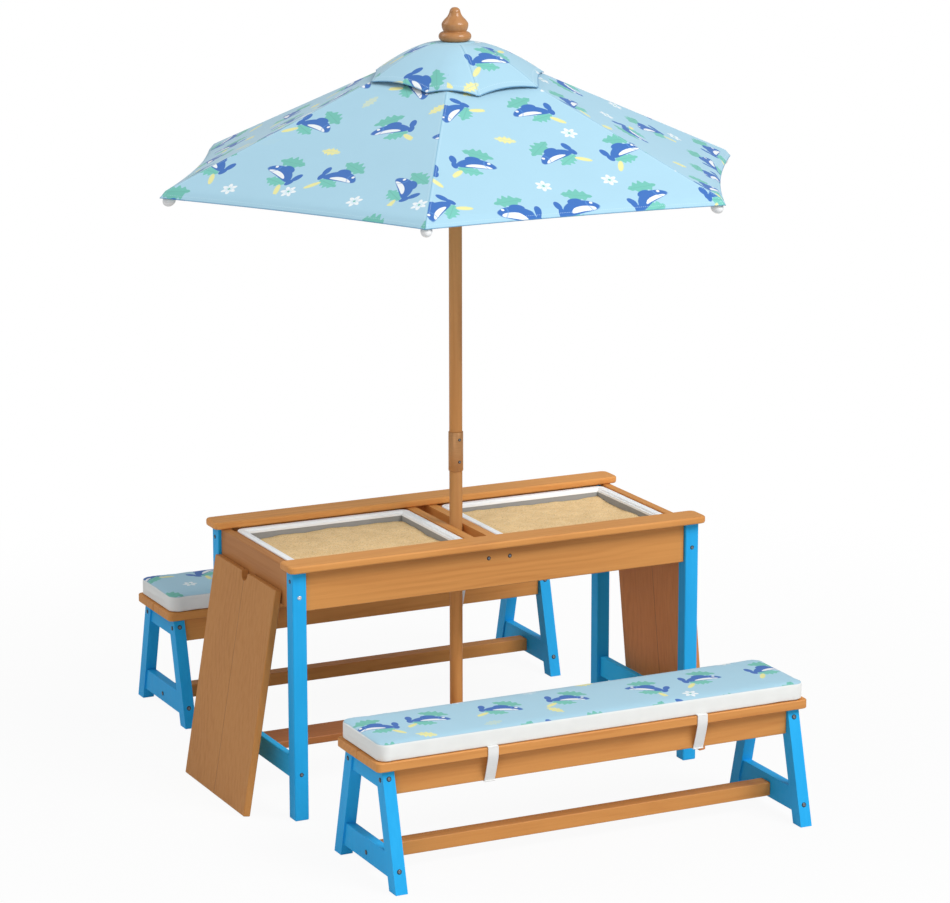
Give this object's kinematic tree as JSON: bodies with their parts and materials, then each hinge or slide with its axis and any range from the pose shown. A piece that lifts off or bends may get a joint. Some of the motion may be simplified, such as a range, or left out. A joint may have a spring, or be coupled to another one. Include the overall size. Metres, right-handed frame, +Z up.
{
  "type": "sand and water table",
  "caption": "Children's wooden play table with two lift-out sand and water bins, a folding parasol on a pole, leaning lids and two A-frame benches with cushions.",
  "frame": {"origin": "on the floor, midway between the two benches' outer feet, 28.5 mm in front of the pole's axis", "axes": "+Z up, +X along the table towards its right end, -Y towards the front bench"},
  "size_m": [1.274, 1.4266, 1.5841],
  "materials": {
    "wood": "stained softwood",
    "turned_wood": "stained and turned",
    "blue_wood": "painted blue",
    "bin_plastic": "white moulded",
    "sand": "loose sand",
    "sleeve_metal": "bronze coloured",
    "rib_metal": "plain",
    "hub_plastic": "white moulded",
    "canopy_cloth": "woven, printed",
    "cushion_cloth": "woven, printed"
  },
  "bodies": {
    "table": {"back_apron": "wood", "back_top_rail": "wood", "crossbar_left": "wood", "crossbar_right": "wood", "front_apron": "wood", "front_top_rail": "wood", "left_end_apron": "wood", "left_end_cleat": "wood", "left_lower_rail": "blue_wood", "long_footboard": "wood", "right_end_apron": "wood", "right_end_cleat": "wood", "right_lower_rail": "blue_wood", "table_leg_back_left": "blue_wood", "table_leg_back_right": "blue_wood", "table_leg_front_left": "blue_wood", "table_leg_front_right": "blue_wood"},
    "bin_left": {"bin_left": "bin_plastic", "sand_left": "sand"},
    "bin_right": {"bin_right": "bin_plastic", "sand_right": "sand"},
    "lid_left": {"lid_left": "wood"},
    "lid_right": {"lid_right": "wood"},
    "umbrella": {"lower_pole": "turned_wood", "upper_pole": "turned_wood", "pole_sleeve": "sleeve_metal", "finial": "turned_wood", "crown_hub": "hub_plastic", "canopy": "canopy_cloth", "vent_cap": "canopy_cloth"},
    "runner": {"runner": "hub_plastic"},
    "rib_1": {"rib_1": "rib_metal"},
    "strut_1": {"strut_1": "rib_metal"},
    "rib_2": {"rib_2": "rib_metal"},
    "strut_2": {"strut_2": "rib_metal"},
    "rib_3": {"rib_3": "rib_metal"},
    "strut_3": {"strut_3": "rib_metal"},
    "rib_4": {"rib_4": "rib_metal"},
    "strut_4": {"strut_4": "rib_metal"},
    "rib_5": {"rib_5": "rib_metal"},
    "strut_5": {"strut_5": "rib_metal"},
    "rib_6": {"rib_6": "rib_metal"},
    "strut_6": {"strut_6": "rib_metal"},
    "bench_front": {"bench_front_back_apron": "wood", "bench_front_back_board": "wood", "bench_front_cushion": "cushion_cloth", "bench_front_front_apron": "wood", "bench_front_front_board": "wood", "bench_front_left_frame": "blue_wood", "bench_front_right_frame": "blue_wood", "bench_front_stretcher": "wood"},
    "bench_back": {"bench_back_back_apron": "wood", "bench_back_back_board": "wood", "bench_back_cushion": "cushion_cloth", "bench_back_front_apron": "wood", "bench_back_front_board": "wood", "bench_back_left_frame": "blue_wood", "bench_back_right_frame": "blue_wood", "bench_back_stretcher": "wood"}
  },
  "joints": [
    {"name": "umbrella_lift", "type": "slide", "parent": "table", "child": "umbrella", "axis": [0, 0, 1], "range_m": [0, 0.55]},
    {"name": "bin_left_lift", "type": "slide", "parent": "table", "child": "bin_left", "axis": [0, 0, 1], "range_m": [0, 0.25]},
    {"name": "bin_right_lift", "type": "slide", "parent": "table", "child": "bin_right", "axis": [0, 0, 1], "range_m": [0, 0.25]},
    {"name": "lid_left_slide", "type": "slide", "parent": "table", "child": "lid_left", "axis": [-1, 0, 0], "range_m": [0, 0.3]},
    {"name": "lid_right_slide", "type": "slide", "parent": "table", "child": "lid_right", "axis": [1, 0, 0], "range_m": [0, 0.3]},
    {"name": "bench_front_slide", "type": "slide", "parent": "table", "child": "bench_front", "axis": [0, 1, 0], "range_m": [-0.2, 0.15]},
    {"name": "bench_back_slide", "type": "slide", "parent": "table", "child": "bench_back", "axis": [0, 1, 0], "range_m": [-0.2, 0.2]},
    {"name": "runner_slide", "type": "slide", "parent": "umbrella", "child": "runner", "axis": [0, 0, 1], "range_m": [-0.309, 0], "deforming": ["canopy", "vent_cap"]},
    {"name": "rib_1_hinge", "type": "hinge", "parent": "umbrella", "child": "rib_1", "pos_m": [0.01297, -0.05161, 1.503], "axis": [0.8721, 0.4894, 0], "range_deg": [0, 60.7]},
    {"name": "rib_2_hinge", "type": "hinge", "parent": "umbrella", "child": "rib_2", "pos_m": [0.0265, -0.02882, 1.503], "axis": [0.0122, 0.9999, 0], "range_deg": [0, 60.7]},
    {"name": "rib_3_hinge", "type": "hinge", "parent": "umbrella", "child": "rib_3", "pos_m": [0.01353, -0.00571, 1.503], "axis": [-0.8599, 0.5105, 0], "range_deg": [0, 60.7]},
    {"name": "rib_4_hinge", "type": "hinge", "parent": "umbrella", "child": "rib_4", "pos_m": [-0.01297, -0.00539, 1.503], "axis": [-0.8721, -0.4894, 0], "range_deg": [0, 60.7]},
    {"name": "rib_5_hinge", "type": "hinge", "parent": "umbrella", "child": "rib_5", "pos_m": [-0.0265, -0.02818, 1.503], "axis": [-0.0122, -0.9999, 0], "range_deg": [0, 60.7]},
    {"name": "rib_6_hinge", "type": "hinge", "parent": "umbrella", "child": "rib_6", "pos_m": [-0.01353, -0.05129, 1.503], "axis": [0.8599, -0.5105, 0], "range_deg": [0, 60.7]},
    {"name": "strut_1_hinge", "type": "hinge", "parent": "rib_1", "child": "strut_1", "pos_m": [0.1326, -0.2648, 1.38803], "axis": [0.8721, 0.4894, 0], "range_deg": [-121.4, 0]},
    {"name": "strut_2_hinge", "type": "hinge", "parent": "rib_2", "child": "strut_2", "pos_m": [0.27094, -0.03181, 1.38803], "axis": [0.0122, 0.9999, 0], "range_deg": [-121.4, 0]},
    {"name": "strut_3_hinge", "type": "hinge", "parent": "rib_3", "child": "strut_3", "pos_m": [0.13834, 0.20449, 1.38803], "axis": [-0.8599, 0.5105, 0], "range_deg": [-121.4, 0]},
    {"name": "strut_4_hinge", "type": "hinge", "parent": "rib_4", "child": "strut_4", "pos_m": [-0.1326, 0.2078, 1.38803], "axis": [-0.8721, -0.4894, 0], "range_deg": [-121.4, 0]},
    {"name": "strut_5_hinge", "type": "hinge", "parent": "rib_5", "child": "strut_5", "pos_m": [-0.27094, -0.02519, 1.38803], "axis": [-0.0122, -0.9999, 0], "range_deg": [-121.4, 0]},
    {"name": "strut_6_hinge", "type": "hinge", "parent": "rib_6", "child": "strut_6", "pos_m": [-0.13834, -0.26149, 1.38803], "axis": [0.8599, -0.5105, 0], "range_deg": [-121.4, 0]}
  ],
  "couplings": [
    {"joint": "rib_1_hinge", "follows": "runner_slide", "rad_per_m": -3.428},
    {"joint": "rib_2_hinge", "follows": "runner_slide", "rad_per_m": -3.428},
    {"joint": "rib_3_hinge", "follows": "runner_slide", "rad_per_m": -3.428},
    {"joint": "rib_4_hinge", "follows": "runner_slide", "rad_per_m": -3.428},
    {"joint": "rib_5_hinge", "follows": "runner_slide", "rad_per_m": -3.428},
    {"joint": "rib_6_hinge", "follows": "runner_slide", "rad_per_m": -3.428},
    {"joint": "strut_1_hinge", "follows": "runner_slide", "rad_per_m": 6.856},
    {"joint": "strut_2_hinge", "follows": "runner_slide", "rad_per_m": 6.856},
    {"joint": "strut_3_hinge", "follows": "runner_slide", "rad_per_m": 6.856},
    {"joint": "strut_4_hinge", "follows": "runner_slide", "rad_per_m": 6.856},
    {"joint": "strut_5_hinge", "follows": "runner_slide", "rad_per_m": 6.856},
    {"joint": "strut_6_hinge", "follows": "runner_slide", "rad_per_m": 6.856}
  ]
}
